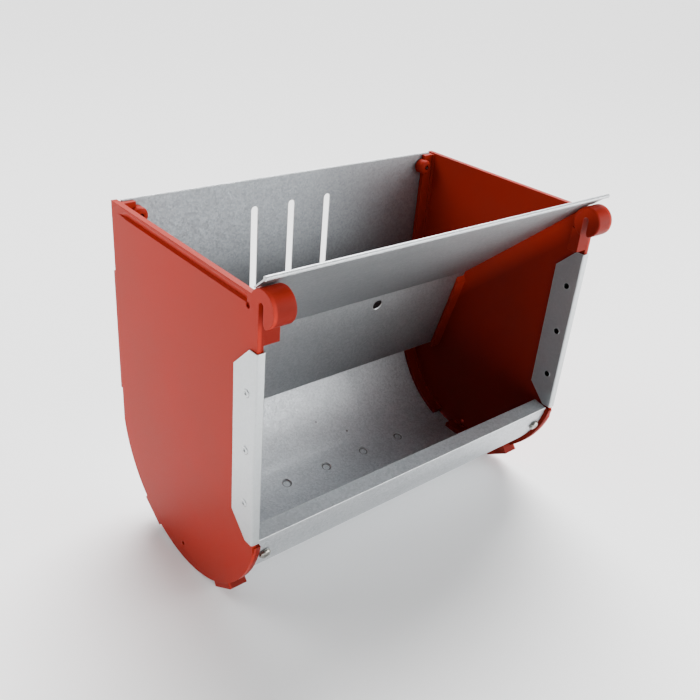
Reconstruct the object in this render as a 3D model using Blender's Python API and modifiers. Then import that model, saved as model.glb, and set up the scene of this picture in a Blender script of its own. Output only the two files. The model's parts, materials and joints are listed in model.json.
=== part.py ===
"""Rabbit feeder: a galvanised hopper with a half-round trough between two red moulded end plates.

Width runs along X, the feeding side faces -Y, and +Z is up. The sizes below are in millimetres. Depths are
measured back from the front edge of the end plates and heights up from the lower end of the edge guards;
`point` turns them into world coordinates, with the origin in the middle of the bottom of the whole feeder.
"""

import math

import bmesh
import bpy
from mathutils import Matrix, Vector

MM = 0.001
GAP = 0.3                   # clearance left between pieces that touch
CENTRE_DEPTH = 68.8         # depth of the middle of the feeder
FLOOR_HEIGHT = -62.8        # height of the lowest point, under the end plates

# End plates, one moulding and its mirror image. Widths in a plate are measured inwards from its outer face.
PLATE_HALF_WIDTH = 124.3
PLATE_WEB = 3.4
PLATE_TOP = 142.2
PLATE_BACK = 145.5
TROUGH_DEPTH = 72.0         # centre line of the half-round bottom
TROUGH_HEIGHT = 12.0
RIM_RADIUS = 74.8
RIM_WIDTH = 4.8
RIM_INNER_RADIUS = 66.5
RIM_STEP = 0.25
ARC_STEP = math.radians(4.5)

# Ribs and tabs that hold the trough sheet. Angles run from the back (0) under the trough (-90) to the front.
RIB_WIDTH = 12.0
RIB_THICKNESS = 3.0
RIB_TOP = 141.3
BACK_RIB_END = -70.0
FRONT_RIB_START = -82.0
FRONT_RIB_END = -167.0
RIM_OPENING = (-70.0, -84.0)
BACK_TAB = (19.4, 98.5, 149.2)           # lower end, upper end, outer depth
LOWER_TABS = ((-50.8, -65.6, 80.0), (-116.2, -130.0, 78.9))

# Hook at the top front: a round disc with a slot for the cage wire, open at its lower end.
HOOK_DEPTH = -2.2
HOOK_HEIGHT = 137.8
HOOK_RADIUS = 9.45
HOOK_WIDTH = 12.9
WIRE_SLOT = (-3.7, 140.8, 122.0)          # front side, upper end, lower end
FINGER_RADIUS = 3.0
BLOCK = (0.1, 7.0, 117.5, 132.0)
BLOCK_WIDTH = 12.3

# Finger groove along the top of the outer face, and the small holes of the plate.
GROOVE = (9.0, 136.5, 136.4, 141.6)      # front, back, lower edge, upper edge
GROOVE_DEPTH = 1.8
GROOVE_PIT = (8.4, 135.4, 1.7)
VENT_HOLE = (72.8, -51.8, 1.4)

# Sheets.
SHEET = 0.7
TROUGH_OUTER_RADIUS = 71.6
TROUGH_HALF_WIDTH = 119.2
BACK_TOP = 142.4
BACK_HEM = 9.0
LIP_LENGTH = 10.0
LIP_RISE = 11.0                           # degrees above level, towards the back
SLOT_CENTRES = (-30.7, -2.2, 27.0)
SLOT_WIDTH = 5.0
SLOT_SPAN = (60.0, 124.8)
DIMPLE_CENTRES = (-69.0, -34.5, 0.0, 34.5, 69.0)
DIMPLE_ANGLE = -75.2
DIMPLE_RADIUS = 3.6
DIMPLE_DEPTH = 0.8

# Feed baffle, a folded sheet with a rolled top edge, as depth and height along its middle surface.
BAFFLE_TOP = (-4.6, 153.4)
BAFFLE_FOLD = (93.5, 67.3)
BAFFLE_FOOT = (111.1, 3.1)
BAFFLE_ROLL_RADIUS = 1.25
BAFFLE_EAR = 11.0
BAFFLE_EAR_HALF_WIDTH = 124.6
BAFFLE_HALF_WIDTH = 120.4
BAFFLE_HOLE = (38.2, 8.0, 3.9)            # width position, distance below the fold, radius
CHANNEL_WIDTH = 11.0
CHANNEL_RIB = 2.5

# Edge guards, the rivets that hold them and the screws.
GUARD_DEPTH = 18.0
GUARD_SPAN = (0.9, 114.3)
GUARD_CHAMFER = 12.8
GUARD_BEND = 1.3
RIVET_DEPTH = 6.8
RIVET_HEIGHTS = (24.6, 57.4, 90.2)
RIVET_SHANK = 1.9
RIVET_HEAD = 3.0
LIP_SCREW_INSET = 11.4
LIP_SCREW_ANGLE = -159.4
BACK_SCREW_INSET = 13.0
BACK_SCREW_HEIGHT = 133.6
SCREW_HEAD_RADIUS = 3.5
SCREW_HEAD_HEIGHT = 2.4
SCREW_SHANK = 1.45
LIP_SCREW_LENGTH = 9.0
BACK_SCREW_LENGTH = 9.6
LIP_BOSS_RADIUS = 4.5
LIP_BOSS_FOOT = 60.0
BACK_BOSS_RADIUS = 5.0
BACK_BOSS_FRONT = 135.4


def clear_scene():
    """Remove every object that Blender starts with."""
    for old in list(bpy.data.objects):
        bpy.data.objects.remove(old, do_unlink=True)


def make_collection(name):
    """Make a collection in the scene and give it back."""
    collection = bpy.data.collections.new(name)
    bpy.context.scene.collection.children.link(collection)
    return collection


def make_material(name, colour, roughness, metallic):
    """Make a Principled material from a linear colour."""
    material = bpy.data.materials.new(name)
    material.use_nodes = True
    shader = material.node_tree.nodes["Principled BSDF"]
    shader.inputs["Base Color"].default_value = (*colour, 1.0)
    shader.inputs["Roughness"].default_value = roughness
    shader.inputs["Metallic"].default_value = metallic
    material.diffuse_color = (*colour, 1.0)
    return material


def red_plastic():
    """Matte red moulded plastic of the end plates."""
    return make_material("red_moulded_plastic", (0.42, 0.062, 0.040), 0.5, 0.0)


def galvanised_sheet():
    """Zinc-coated sheet of the hopper, the baffle and the guards."""
    return make_material("galvanised_sheet", (0.42, 0.43, 0.44), 0.45, 0.9)


def zinc_hardware():
    """Zinc-plated steel of the screws and rivets."""
    return make_material("zinc_plated_steel", (0.50, 0.49, 0.46), 0.35, 1.0)


def point(across, depth, height):
    """World position of a point given by its width, depth and height in millimetres."""
    return Vector((across, depth - CENTRE_DEPTH, height - FLOOR_HEIGHT)) * MM


def around(radius, degrees, depth=TROUGH_DEPTH, height=TROUGH_HEIGHT):
    """Depth and height of a point on a circle, by default one about the centre line of the trough."""
    angle = math.radians(degrees)
    return depth + radius * math.cos(angle), height + radius * math.sin(angle)


def arc(radius, start, end, depth=TROUGH_DEPTH, height=TROUGH_HEIGHT, step=ARC_STEP):
    """Points along an arc from one angle to another, in degrees."""
    count = max(2, math.ceil(abs(math.radians(end - start)) / step) + 1)
    angles = [start + (end - start) * index / (count - 1) for index in range(count)]
    return [around(radius, angle, depth, height) for angle in angles]


def mesh_object(name, curve_object):
    """Turn an extruded outline into a mesh object with its end caps welded on."""
    mesh = bpy.data.meshes.new_from_object(curve_object)
    mesh.name = name
    mesh.transform(curve_object.matrix_basis)
    shape = bmesh.new()
    shape.from_mesh(mesh)
    bmesh.ops.remove_doubles(shape, verts=shape.verts, dist=0.000001)
    bmesh.ops.recalc_face_normals(shape, faces=shape.faces)
    shape.to_mesh(mesh)
    shape.free()
    bpy.data.objects.remove(curve_object, do_unlink=True)
    return bpy.data.objects.new(name, mesh)


def extruded_outline(name, outlines, length, placement):
    """Fill flat outlines, the first the outer one, and extrude them by `length` about their own plane."""
    curve = bpy.data.curves.new(name, "CURVE")
    curve.dimensions = "2D"
    curve.fill_mode = "BOTH"
    curve.extrude = length * MM / 2
    for outline in outlines:
        spline = curve.splines.new("POLY")
        spline.points.add(len(outline) - 1)
        for knot, (first, second) in zip(spline.points, outline):
            knot.co = (first * MM, second * MM, 0.0, 1.0)
        spline.use_cyclic_u = True
    holder = bpy.data.objects.new(name, curve)
    holder.matrix_basis = placement
    return mesh_object(name, holder)


def prism_across(name, outlines, left, right):
    """Extrude outlines of depth and height along X, from `left` to `right`."""
    turn = Matrix(((0, 0, 1), (1, 0, 0), (0, 1, 0))).to_4x4()
    placement = Matrix.Translation(point((left + right) / 2, 0.0, 0.0)) @ turn
    return extruded_outline(name, outlines, right - left, placement)


def prism_upright(name, outline, low, high):
    """Extrude one outline of width and depth along Z, from `low` to `high`."""
    placement = Matrix.Translation(point(0.0, 0.0, (low + high) / 2))
    return extruded_outline(name, [outline], high - low, placement)


def cylinder(name, centre, radius, length, direction, segments=24):
    """Cylinder about a centre, its axis along `direction`."""
    shape = bmesh.new()
    bmesh.ops.create_cone(shape, cap_ends=True, segments=segments, radius1=radius * MM, radius2=radius * MM,
                          depth=length * MM)
    mesh = bpy.data.meshes.new(name)
    shape.to_mesh(mesh)
    shape.free()
    mesh.transform(Matrix.Translation(centre) @ facing(direction))
    return bpy.data.objects.new(name, mesh)


def facing(direction):
    """Rotation that turns the Z axis to a direction."""
    return Vector((0, 0, 1)).rotation_difference(Vector(direction)).to_matrix().to_4x4()


def turned(name, profile, placement, steps=24):
    """Turn a profile of radius and height about its own axis and put it in place."""
    mesh = bpy.data.meshes.new(name)
    corners = [(radius * MM, 0.0, height * MM) for radius, height in profile]
    mesh.from_pydata(corners, [(index, index + 1) for index in range(len(corners) - 1)], [])
    piece = bpy.data.objects.new(name, mesh)
    piece.matrix_basis = placement
    screw = piece.modifiers.new("turned", "SCREW")
    screw.steps = screw.render_steps = steps
    screw.use_merge_vertices = True
    screw.merge_threshold = 0.00002
    screw.use_smooth_shade = True
    return piece


def combine(target, tool, operation, cutters):
    """Add an exact Boolean of `tool` to `target` and keep the tool among the cutters."""
    cutters.objects.link(tool)
    tool.hide_render = True
    tool.display_type = "WIRE"
    step = target.modifiers.new(tool.name, "BOOLEAN")
    step.operation = operation
    step.solver = "EXACT"
    step.object = tool


def finish(piece, material, parts, smooth_below=40.0):
    """Give a piece its material, smooth its round faces and place it among the parts."""
    piece.data.materials.clear()
    piece.data.materials.append(material)
    parts.objects.link(piece)
    for face in piece.data.polygons:
        face.use_smooth = True
    piece.data.set_sharp_from_angle(angle=math.radians(smooth_below))
    shading = piece.modifiers.new("even_shading", "WEIGHTED_NORMAL")
    shading.keep_sharp = True


def from_outer(side, inset):
    """Width position at a distance inwards from the outer face of the left (-1) or right (1) plate."""
    return side * (PLATE_HALF_WIDTH - inset)


def plate_prism(name, side, outlines, near, far):
    """Prism of an end plate, between two distances inwards from the outer face."""
    ends = sorted((from_outer(side, near), from_outer(side, far)))
    return prism_across(name, outlines, *ends)


def plate_outline():
    """Outline of an end plate: square top back corner, half-round bottom, round hook at the top front."""
    back = math.degrees(math.acos((PLATE_BACK - TROUGH_DEPTH) / RIM_RADIUS))
    front = math.degrees(math.acos(TROUGH_DEPTH / RIM_RADIUS))
    disc = HOOK_RADIUS - 0.25
    low = math.degrees(math.acos(-HOOK_DEPTH / disc))
    high = math.degrees(math.asin((PLATE_TOP - HOOK_HEIGHT) / disc))
    outline = [(PLATE_BACK, PLATE_TOP)] + arc(RIM_RADIUS, -back, front - 180.0)
    outline += arc(disc, -low, high - 360.0, HOOK_DEPTH, HOOK_HEIGHT, math.radians(9))
    return outline


def circle(depth, height, radius, count=20):
    """Closed circle of points."""
    return [around(radius, 360.0 * index / count, depth, height) for index in range(count)]


def plate_web(side):
    """Flat wall of an end plate, with its rivet holes and the small hole near the bottom."""
    outlines = [plate_outline(), circle(*VENT_HOLE, count=12)]
    outlines += [circle(RIVET_DEPTH, height, RIVET_SHANK + GAP, 16) for height in RIVET_HEIGHTS]
    name = "left_end_plate" if side < 0 else "right_end_plate"
    plate = plate_prism(name, side, outlines, 0.0, PLATE_WEB)
    soften = plate.modifiers.new("soft_edges", "BEVEL")
    soften.width = 0.7 * MM
    soften.segments = 2
    soften.limit_method = "ANGLE"
    soften.angle_limit = math.radians(60)
    return plate


def ring_sector(start, end, inner, outer):
    """Outline of a part of a ring about the trough."""
    return arc(outer, start, end) + arc(inner, end, start)


def rim_outlines():
    """Outlines of the thick rim down the back and round the bottom, left open where the rim has a gap."""
    outer, edge = RIM_RADIUS - RIM_STEP, PLATE_BACK - RIM_STEP
    drop = -math.degrees(math.acos((edge - TROUGH_DEPTH) / outer))
    back = [(edge, RIB_TOP)] + arc(outer, drop, RIM_OPENING[0])
    back += arc(RIM_INNER_RADIUS, RIM_OPENING[0], 0.0) + [(TROUGH_DEPTH + RIM_INNER_RADIUS, RIB_TOP)]
    front = ring_sector(RIM_OPENING[1], -169.5, RIM_INNER_RADIUS, outer)
    return back, front


def rib_outlines():
    """Outlines of the ribs inside the trough sheet: down the back and round, then the front part."""
    outer = TROUGH_OUTER_RADIUS - SHEET - GAP
    inner = outer - RIB_THICKNESS
    back = [(TROUGH_DEPTH + outer, RIB_TOP)] + arc(outer, 0.0, BACK_RIB_END)
    back += arc(inner, BACK_RIB_END, 0.0) + [(TROUGH_DEPTH + inner, RIB_TOP)]
    return back, ring_sector(FRONT_RIB_START, FRONT_RIB_END, inner, outer)


def tab_outlines():
    """Outlines of the tabs outside the trough sheet: one upright, two below."""
    low, high, outside = BACK_TAB
    inside = TROUGH_OUTER_RADIUS + GAP
    back = TROUGH_DEPTH + inside
    outlines = [[(back, low), (outside, low), (outside, high), (back, high)]]
    for start, end, radius in LOWER_TABS:
        outlines.append([around(radius, start), around(radius, end)] + arc(inside, end, start))
    return outlines


def channel_outline():
    """Outline of the channel that takes the foot of the baffle: a rib in front, one behind, a stop below."""
    fold, foot = Vector(BAFFLE_FOLD), Vector(BAFFLE_FOOT)
    along = (foot - fold).normalized()
    back = Vector((-along.y, along.x))
    play = back * (SHEET / 2 + GAP)
    wall = play + back * CHANNEL_RIB
    seat, base = foot + along * GAP, foot + along * (GAP + CHANNEL_RIB)
    outline = [fold + along * 3.0 - play, seat - play, seat + play, fold + along + play]
    outline += [fold + along + wall, base + wall, base - wall, fold + along * 6.5 - wall]
    return [tuple(knot) for knot in outline]


def add_plate_solids(plate, side, cutters):
    """Join the rim, ribs, tabs, channel and block to the wall of a plate."""
    pieces = [("rim", outline, 1.0, RIM_WIDTH) for outline in rim_outlines()]
    pieces += [("rib", outline, 1.2, RIB_WIDTH) for outline in rib_outlines()]
    pieces += [("tab", outline, 0.9, RIB_WIDTH) for outline in tab_outlines()]
    pieces.append(("channel", channel_outline(), 1.4, CHANNEL_WIDTH))
    front, back, low, high = BLOCK
    block = [(front, low), (back, low), (back, high), (front, high)]
    pieces.append(("block", block, 1.1, BLOCK_WIDTH))
    for index, (kind, outline, near, far) in enumerate(pieces):
        solid = plate_prism(f"{plate.name}_{kind}_{index}", side, [outline], near, far)
        combine(plate, solid, "UNION", cutters)


def slot_outline():
    """Outline cut out of the hook: upright slot, round at the top, flared round the tip of the finger."""
    front, high, low = WIRE_SLOT
    back = 0.05
    radius = (back - front) / 2
    outline = [(back, low)] + arc(radius, 0.0, 180.0, back - radius, high - radius, math.radians(20))
    outline += arc(FINGER_RADIUS, 0.0, -90.0, front - FINGER_RADIUS, 131.8, math.radians(18))
    outline.append((front - FINGER_RADIUS, low))
    return outline


def add_hook(plate, side, cutters):
    """Join the round hook to a plate and cut its slot right through."""
    radius, end, edge, base = HOOK_RADIUS, HOOK_WIDTH, 0.9, 0.05
    profile = [(0.0, end), (radius - edge, end), (radius - edge * 0.3, end - edge * 0.3)]
    profile += [(radius, end - edge), (radius, base), (0.0, base)]
    centre = point(from_outer(side, 0.0), HOOK_DEPTH, HOOK_HEIGHT)
    placement = Matrix.Translation(centre) @ facing((-side, 0, 0))
    combine(plate, turned(f"{plate.name}_hook", profile, placement, 40), "UNION", cutters)
    slot = plate_prism(f"{plate.name}_wire_slot", side, [slot_outline()], -1.0, HOOK_WIDTH + 2.0)
    combine(plate, slot, "DIFFERENCE", cutters)


def add_screw_bosses(plate, side, cutters):
    """Join the two screw bosses of a plate, the upper one with a domed front, and drill them."""
    back = TROUGH_DEPTH + TROUGH_OUTER_RADIUS - SHEET - GAP - 0.2
    length = back - BACK_BOSS_FRONT
    radius = BACK_BOSS_RADIUS
    profile = [(0.0, length), (radius * 0.6, length), (radius * 0.88, length - 0.9), (radius, length - 2.2)]
    seat = point(from_outer(side, BACK_SCREW_INSET), back, BACK_SCREW_HEIGHT)
    placement = Matrix.Translation(seat) @ facing((0, -1, 0))
    boss = turned(f"{plate.name}_back_boss", profile + [(radius, 0.0), (0.0, 0.0)], placement)
    combine(plate, boss, "UNION", cutters)
    pilot = cylinder(f"{plate.name}_back_pilot", seat, SCREW_SHANK + GAP, 30.0, (0, 1, 0), 16)
    combine(plate, pilot, "DIFFERENCE", cutters)
    outer = TROUGH_OUTER_RADIUS - SHEET - GAP - 0.3
    across = from_outer(side, LIP_SCREW_INSET)
    middle = point(across, *around((outer + LIP_BOSS_FOOT) / 2, LIP_SCREW_ANGLE))
    direction = (0, math.cos(math.radians(LIP_SCREW_ANGLE)), math.sin(math.radians(LIP_SCREW_ANGLE)))
    boss = cylinder(f"{plate.name}_lip_boss", middle, LIP_BOSS_RADIUS, outer - LIP_BOSS_FOOT, direction)
    combine(plate, boss, "UNION", cutters)
    pilot = cylinder(f"{plate.name}_lip_pilot", middle, SCREW_SHANK + GAP, 30.0, direction, 16)
    combine(plate, pilot, "DIFFERENCE", cutters)


def cut_groove(plate, side, cutters):
    """Cut the shallow groove along the top of the outer face and the pit at its front end."""
    front, back, low, high = GROOVE
    shape = bmesh.new()
    rings = []
    for depth, reach in ((front, 0.55), (front + 3.0, 1.0), (back - 9.0, 1.0), (back, 0.05)):
        section = ((-0.4, low - 0.3), (GROOVE_DEPTH * reach, low + 0.7), (-0.4, high))
        corners = [point(from_outer(side, inset), depth, height) for inset, height in section]
        rings.append([shape.verts.new(corner) for corner in corners])
    for first, second in zip(rings, rings[1:]):
        for index in range(3):
            corner = (index + 1) % 3
            shape.faces.new((first[index], first[corner], second[corner], second[index]))
    shape.faces.new(rings[0])
    shape.faces.new(rings[-1])
    bmesh.ops.recalc_face_normals(shape, faces=shape.faces)
    mesh = bpy.data.meshes.new(f"{plate.name}_groove")
    shape.to_mesh(mesh)
    shape.free()
    combine(plate, bpy.data.objects.new(mesh.name, mesh), "DIFFERENCE", cutters)
    depth, height, radius = GROOVE_PIT
    centre = point(from_outer(side, 0.0), depth, height)
    pit = cylinder(f"{plate.name}_groove_pit", centre, radius, 2.4, (1, 0, 0), 12)
    combine(plate, pit, "DIFFERENCE", cutters)


def build_end_plate(side, material, parts, cutters):
    """One end plate: -1 for the left one, 1 for the right one."""
    plate = plate_web(side)
    add_plate_solids(plate, side, cutters)
    add_hook(plate, side, cutters)
    add_screw_bosses(plate, side, cutters)
    cut_groove(plate, side, cutters)
    finish(plate, material, parts)
    return plate


def trough_section():
    """Closed section of the trough sheet: hemmed back, half-round floor, lip folded inwards."""
    outer = TROUGH_OUTER_RADIUS
    inner = outer - SHEET
    back = TROUGH_DEPTH + outer
    end = 180.0 - 360.0 + math.degrees(math.asin(TROUGH_HEIGHT / outer))
    fold = around(outer, end)
    rise = math.radians(LIP_RISE)
    along = Vector((math.cos(rise), math.sin(rise)))
    under = Vector((math.sin(rise), -math.cos(rise))) * SHEET
    tip = Vector(fold) + along * LIP_LENGTH
    section = [(back - SHEET, BACK_TOP - 0.4), (back - SHEET + 0.3, BACK_TOP), (back + 0.4, BACK_TOP)]
    section += [(back + SHEET, BACK_TOP - 0.4), (back + SHEET, BACK_TOP - BACK_HEM)]
    section.append((back, BACK_TOP - BACK_HEM - 0.3))
    section += arc(outer, 0.0, end)
    section += [tuple(tip), tuple(tip + under)]
    section += arc(inner, end + 1.0, 0.0)
    return section


def build_trough_sheet(material, parts, cutters):
    """Back, floor and lip in one bent sheet, with slots, screw holes and pressed dimples."""
    sheet = prism_across("trough_sheet", [trough_section()], -TROUGH_HALF_WIDTH, TROUGH_HALF_WIDTH)
    low, high = SLOT_SPAN
    radius = SLOT_WIDTH / 2
    middle = point(0.0, TROUGH_DEPTH + TROUGH_OUTER_RADIUS, 0.0)
    for index, across in enumerate(SLOT_CENTRES):
        ends = arc(radius, 0.0, 180.0, across, high - radius, math.radians(30))
        ends += arc(radius, 180.0, 360.0, across, low + radius, math.radians(30))
        turn = Matrix.Rotation(math.radians(90), 4, "X")
        place = Matrix.Translation(Vector((0.0, middle.y, point(0, 0, 0).z))) @ turn
        slot = extruded_outline(f"trough_slot_{index}", [ends], 6.0, place)
        combine(sheet, slot, "DIFFERENCE", cutters)
    for side in (-1, 1):
        wall = TROUGH_DEPTH + TROUGH_OUTER_RADIUS
        centre = point(from_outer(side, BACK_SCREW_INSET), wall, BACK_SCREW_HEIGHT)
        hole = cylinder(f"trough_back_hole_{side}", centre, SCREW_SHANK + GAP, 8.0, (0, 1, 0), 16)
        combine(sheet, hole, "DIFFERENCE", cutters)
        angle = math.radians(LIP_SCREW_ANGLE)
        centre = point(from_outer(side, LIP_SCREW_INSET), *around(TROUGH_OUTER_RADIUS, LIP_SCREW_ANGLE))
        direction = (0, math.cos(angle), math.sin(angle))
        hole = cylinder(f"trough_lip_hole_{side}", centre, SCREW_SHANK + GAP, 5.0, direction, 16)
        combine(sheet, hole, "DIFFERENCE", cutters)
    press_dimples(sheet, cutters)
    finish(sheet, material, parts)
    return sheet


def press_dimples(sheet, cutters):
    """Press the row of round dimples into the floor: a disc joined below and a disc cut above."""
    angle = math.radians(DIMPLE_ANGLE)
    direction = (0, math.cos(angle), math.sin(angle))
    for index, across in enumerate(DIMPLE_CENTRES):
        low = TROUGH_OUTER_RADIUS + DIMPLE_DEPTH
        top = TROUGH_OUTER_RADIUS - SHEET / 2
        centre = point(across, *around((low + top) / 2, DIMPLE_ANGLE))
        bump = cylinder(f"dimple_bump_{index}", centre, DIMPLE_RADIUS + 0.6, low - top, direction, 20)
        combine(sheet, bump, "UNION", cutters)
        low, top = low - SHEET, TROUGH_OUTER_RADIUS - 3.0
        centre = point(across, *around((low + top) / 2, DIMPLE_ANGLE))
        cup = cylinder(f"dimple_cup_{index}", centre, DIMPLE_RADIUS, low - top, direction, 20)
        combine(sheet, cup, "DIFFERENCE", cutters)


def baffle_section():
    """Closed section of the baffle: rolled top edge, upper slope, fold, lower slope."""
    top, fold, foot = Vector(BAFFLE_TOP), Vector(BAFFLE_FOLD), Vector(BAFFLE_FOOT)
    upper, lower = (fold - top).normalized(), (foot - fold).normalized()
    upper_back, lower_back = Vector((-upper.y, upper.x)), Vector((-lower.y, lower.x))
    half = SHEET / 2
    mitre = (upper_back + lower_back).normalized()
    reach = half / mitre.dot(upper_back)
    start = math.degrees(math.atan2(upper.y, upper.x))
    lean = math.degrees(math.asin(half / BAFFLE_ROLL_RADIUS))
    roll = arc(BAFFLE_ROLL_RADIUS, start + lean, start + 360.0 - lean, *top, step=math.radians(24))
    section = [tuple(fold + mitre * reach)] + roll
    section += [tuple(fold - mitre * reach), tuple(foot - lower_back * half), tuple(foot + lower_back * half)]
    return section


def build_baffle(material, parts, cutters):
    """Folded sheet between hopper and trough; its ears lie on the hooks, its foot stands in the channels."""
    baffle = prism_across("feed_baffle", [baffle_section()], -BAFFLE_EAR_HALF_WIDTH, BAFFLE_EAR_HALF_WIDTH)
    top, fold = Vector(BAFFLE_TOP), Vector(BAFFLE_FOLD)
    along = (fold - top).normalized()
    corner = top + along * BAFFLE_EAR
    square = Vector((-along.y, along.x))
    outline = [corner - square * 12.0, corner + square * 60.0, corner + square * 60.0 + along * 260.0]
    outline += [corner - square * 90.0 + along * 260.0, corner - square * 90.0 + along * 60.0]
    for side in (-1, 1):
        ends = sorted((side * BAFFLE_HALF_WIDTH, side * (BAFFLE_EAR_HALF_WIDTH + 5.0)))
        notch = prism_across(f"baffle_notch_{side}", [[tuple(knot) for knot in outline]], *ends)
        combine(baffle, notch, "DIFFERENCE", cutters)
    across, below, radius = BAFFLE_HOLE
    lower = (Vector(BAFFLE_FOOT) - fold).normalized()
    spot = fold + lower * below
    hole = cylinder("baffle_hole", point(across, *spot), radius, 8.0, (0, -lower.y, lower.x), 24)
    combine(baffle, hole, "DIFFERENCE", cutters)
    move_origin(baffle, point(0.0, *BAFFLE_FOLD))
    finish(baffle, material, parts, 20.0)
    return baffle


def move_origin(piece, origin):
    """Put the origin of a piece at a world position without moving the piece."""
    piece.data.transform(Matrix.Translation(-origin))
    piece.location = origin


def guard_section(side):
    """Closed U section of an edge guard in width and depth: outer leaf, rounded front, inner leaf."""
    outer, inner = -GAP - SHEET, PLATE_WEB + GAP + SHEET
    front = -GAP - SHEET
    bend = GUARD_BEND
    turn = math.radians(18)
    knots = [(outer, GUARD_DEPTH)] + arc(bend, 180.0, 270.0, outer + bend, front + bend, turn)
    knots += arc(bend, 270.0, 360.0, inner - bend, front + bend, turn) + [(inner, GUARD_DEPTH)]
    tight = bend - SHEET
    knots += [(inner - SHEET, GUARD_DEPTH)] + arc(tight, 360.0, 270.0, inner - bend, front + bend, turn)
    knots += arc(tight, 270.0, 180.0, outer + bend, front + bend, turn) + [(outer + SHEET, GUARD_DEPTH)]
    return [(from_outer(side, inset), depth) for inset, depth in knots]


def build_guard(side, material, parts, cutters):
    """Folded strip over the front edge of one plate, with chamfered corners and three rivet holes."""
    low, high = GUARD_SPAN
    name = "left_edge_guard" if side < 0 else "right_edge_guard"
    guard = prism_upright(name, guard_section(side), low, high)
    middle = from_outer(side, PLATE_WEB / 2)
    start = GUARD_DEPTH - GUARD_CHAMFER
    for end, outward in ((low, -1), (high, 1)):
        beyond, clear = GUARD_DEPTH + 5.0, end + outward * 5.0
        corner = [(start, end), (GUARD_DEPTH, end - outward * GUARD_CHAMFER)]
        corner += [(beyond, end - outward * GUARD_CHAMFER), (beyond, clear), (start, clear)]
        cutter = prism_across(f"{name}_corner_{outward}", [corner], middle - 10.0, middle + 10.0)
        combine(guard, cutter, "DIFFERENCE", cutters)
    for index, height in enumerate(RIVET_HEIGHTS):
        centre = point(middle, RIVET_DEPTH, height)
        hole = cylinder(f"{name}_hole_{index}", centre, RIVET_SHANK + GAP, 12.0, (1, 0, 0), 16)
        combine(guard, hole, "DIFFERENCE", cutters)
    finish(guard, material, parts)
    return guard


def build_rivet(side, index, height, material, parts):
    """Hollow rivet through a guard and its plate: flat head outside, open flared end inside."""
    near, far = -GAP - SHEET, PLATE_WEB + GAP + SHEET
    top = -near + 0.5
    foot = -far - 0.5
    profile = [(0.0, top), (RIVET_HEAD - 0.5, top), (RIVET_HEAD, top - 0.4), (RIVET_SHANK, top - 0.4)]
    profile += [(RIVET_SHANK, foot + 0.4), (RIVET_HEAD - 0.3, foot + 0.4), (RIVET_HEAD - 0.4, foot)]
    profile += [(1.5, foot), (1.3, foot + 0.5), (1.3, -0.4), (0.0, -0.4)]
    placement = Matrix.Translation(point(from_outer(side, 0.0), RIVET_DEPTH, height)) @ facing((side, 0, 0))
    name = f"{'left' if side < 0 else 'right'}_guard_rivet_{index}"
    rivet = turned(name, profile, placement, 20)
    rivet.data.materials.append(material)
    parts.objects.link(rivet)
    return rivet


def screw_profile(length):
    """Profile of a pan head screw with its seat at height zero and its tip below."""
    head, high = SCREW_HEAD_RADIUS, SCREW_HEAD_HEIGHT
    profile = [(0.0, high)]
    profile += [(head * 0.55, high * 0.96), (head * 0.85, high * 0.78)]
    profile += [(head * 0.99, high * 0.42), (head, 0.25)]
    profile += [(head * 0.96, 0.0), (SCREW_SHANK, 0.0), (SCREW_SHANK, -length + 2.0), (0.35, -length)]
    return profile + [(0.0, -length)]


def build_screw(name, seat, outward, length, material, parts, cutters):
    """Pan head screw with a cross recess; `outward` points from its seat to its head."""
    placement = Matrix.Translation(seat) @ facing(outward)
    screw = turned(name, screw_profile(length), placement)
    for index in range(2):
        blade = bmesh.new()
        bmesh.ops.create_cube(blade, size=1.0)
        mesh = bpy.data.meshes.new(f"{name}_recess_{index}")
        blade.to_mesh(mesh)
        blade.free()
        size = Matrix.Diagonal((3.6 * MM, 0.75 * MM, 2.4 * MM, 1.0))
        spin = Matrix.Rotation(math.radians(25 + 90 * index), 4, "Z")
        lift = Matrix.Translation((0.0, 0.0, (SCREW_HEAD_HEIGHT + 0.1) * MM))
        mesh.transform(placement @ lift @ spin @ size)
        combine(screw, bpy.data.objects.new(mesh.name, mesh), "DIFFERENCE", cutters)
    screw.data.materials.append(material)
    parts.objects.link(screw)
    return screw


def build_screws(material, parts, cutters):
    """Two screws through the front of the trough sheet and two through the top of its back."""
    angle = math.radians(LIP_SCREW_ANGLE)
    outward = (0.0, math.cos(angle), math.sin(angle))
    for side, word in ((-1, "left"), (1, "right")):
        seat = point(from_outer(side, LIP_SCREW_INSET), *around(TROUGH_OUTER_RADIUS + 0.35, LIP_SCREW_ANGLE))
        build_screw(f"{word}_lip_screw", seat, outward, LIP_SCREW_LENGTH, material, parts, cutters)
        back = TROUGH_DEPTH + TROUGH_OUTER_RADIUS + SHEET + GAP
        seat = point(from_outer(side, BACK_SCREW_INSET), back, BACK_SCREW_HEIGHT)
        build_screw(f"{word}_back_screw", seat, (0, 1, 0), BACK_SCREW_LENGTH, material, parts, cutters)


def main():
    """Build the whole feeder."""
    clear_scene()
    parts = make_collection("rabbit_feeder")
    cutters = make_collection("cutters")
    plastic, zinc, hardware = red_plastic(), galvanised_sheet(), zinc_hardware()
    build_trough_sheet(zinc, parts, cutters)
    build_baffle(zinc, parts, cutters)
    for side in (-1, 1):
        build_end_plate(side, plastic, parts, cutters)
        build_guard(side, zinc, parts, cutters)
        for index, height in enumerate(RIVET_HEIGHTS):
            build_rivet(side, index, height, hardware, parts)
    build_screws(hardware, parts, cutters)


main()
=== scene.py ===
"""Rabbit feeder, dressed and photographed: finishes, fasteners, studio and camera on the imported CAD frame.

Lengths named here are in millimetres unless they say otherwise, and the frame is in metres. Width runs along X,
the feeding side faces -Y and +Z is up.
"""

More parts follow.
